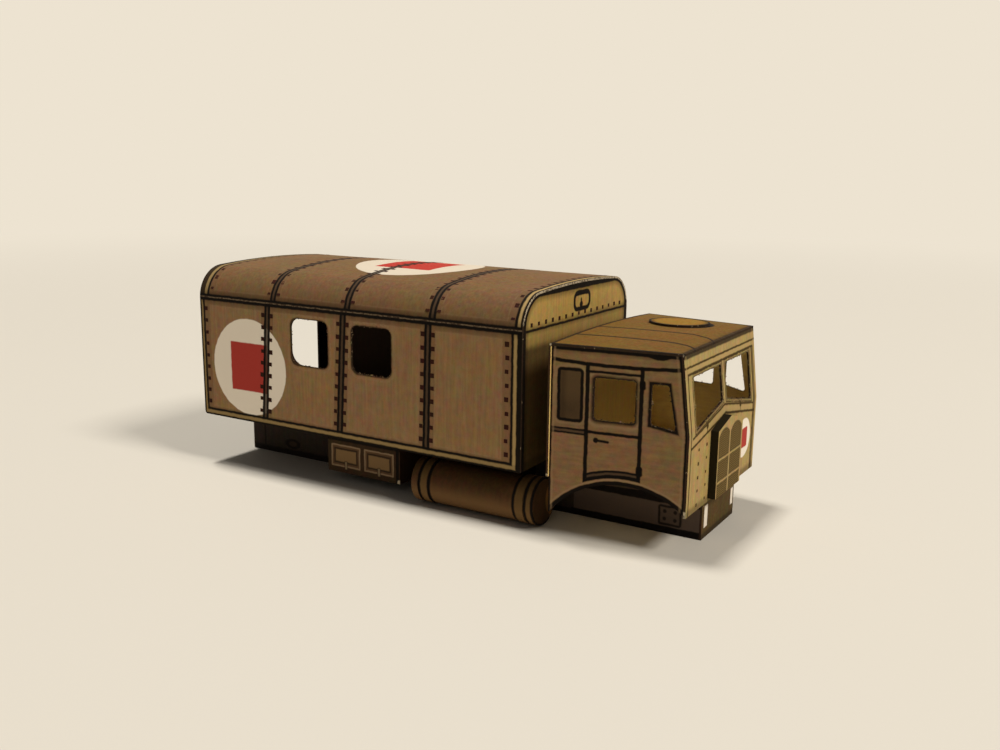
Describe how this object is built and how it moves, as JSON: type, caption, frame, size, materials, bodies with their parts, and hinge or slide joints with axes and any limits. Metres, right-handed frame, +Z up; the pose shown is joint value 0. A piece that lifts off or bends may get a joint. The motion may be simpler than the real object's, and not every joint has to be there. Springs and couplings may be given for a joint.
{
  "type": "card model of a military ambulance truck",
  "caption": "Small folded card model of a military ambulance truck: hollow box body with a crowned roof on rounded shoulders, tapered cab, chassis box, toolboxes and tanks, no wheels.",
  "frame": {"origin": "on the ground under the middle of the whole model, at the bottom centre of its bounding box", "axes": "+X forward along the truck, towards the cab; +Y to the vehicle's left; +Z up"},
  "size_m": [0.084, 0.0334, 0.0335],
  "materials": {
    "printed_card": "matte",
    "printed_card_light": "matte",
    "printed_card_dark": "matte",
    "bare_card": "matte"
  },
  "bodies": {
    "root": {"body_side_right": "printed_card", "body_side_left": "printed_card", "body_roof": "printed_card", "body_front_wall": "printed_card_light", "body_rear_wall": "printed_card", "body_floor": "bare_card", "cab_side_right": "printed_card", "cab_side_left": "printed_card", "cab_front": "printed_card_light", "cab_roof": "printed_card", "cab_rear_wall": "printed_card", "cab_floor": "bare_card", "cab_roof_hatch": "printed_card", "cab_grille": "printed_card_dark", "chassis_side_right": "printed_card_dark", "chassis_side_left": "printed_card_dark", "chassis_bottom": "printed_card_dark", "chassis_top": "printed_card_dark", "chassis_front": "printed_card_dark", "chassis_rear": "printed_card_dark", "toolbox_right": "printed_card", "toolbox_left": "printed_card", "tank_right": "printed_card", "tank_left": "printed_card", "tank_disc_rear_right": "printed_card", "tank_disc_front_right": "printed_card", "tank_disc_rear_left": "printed_card", "tank_disc_front_left": "printed_card", "tank_bracket_right": "printed_card_dark", "tank_bracket_left": "printed_card_dark"}
  },
  "joints": []
}
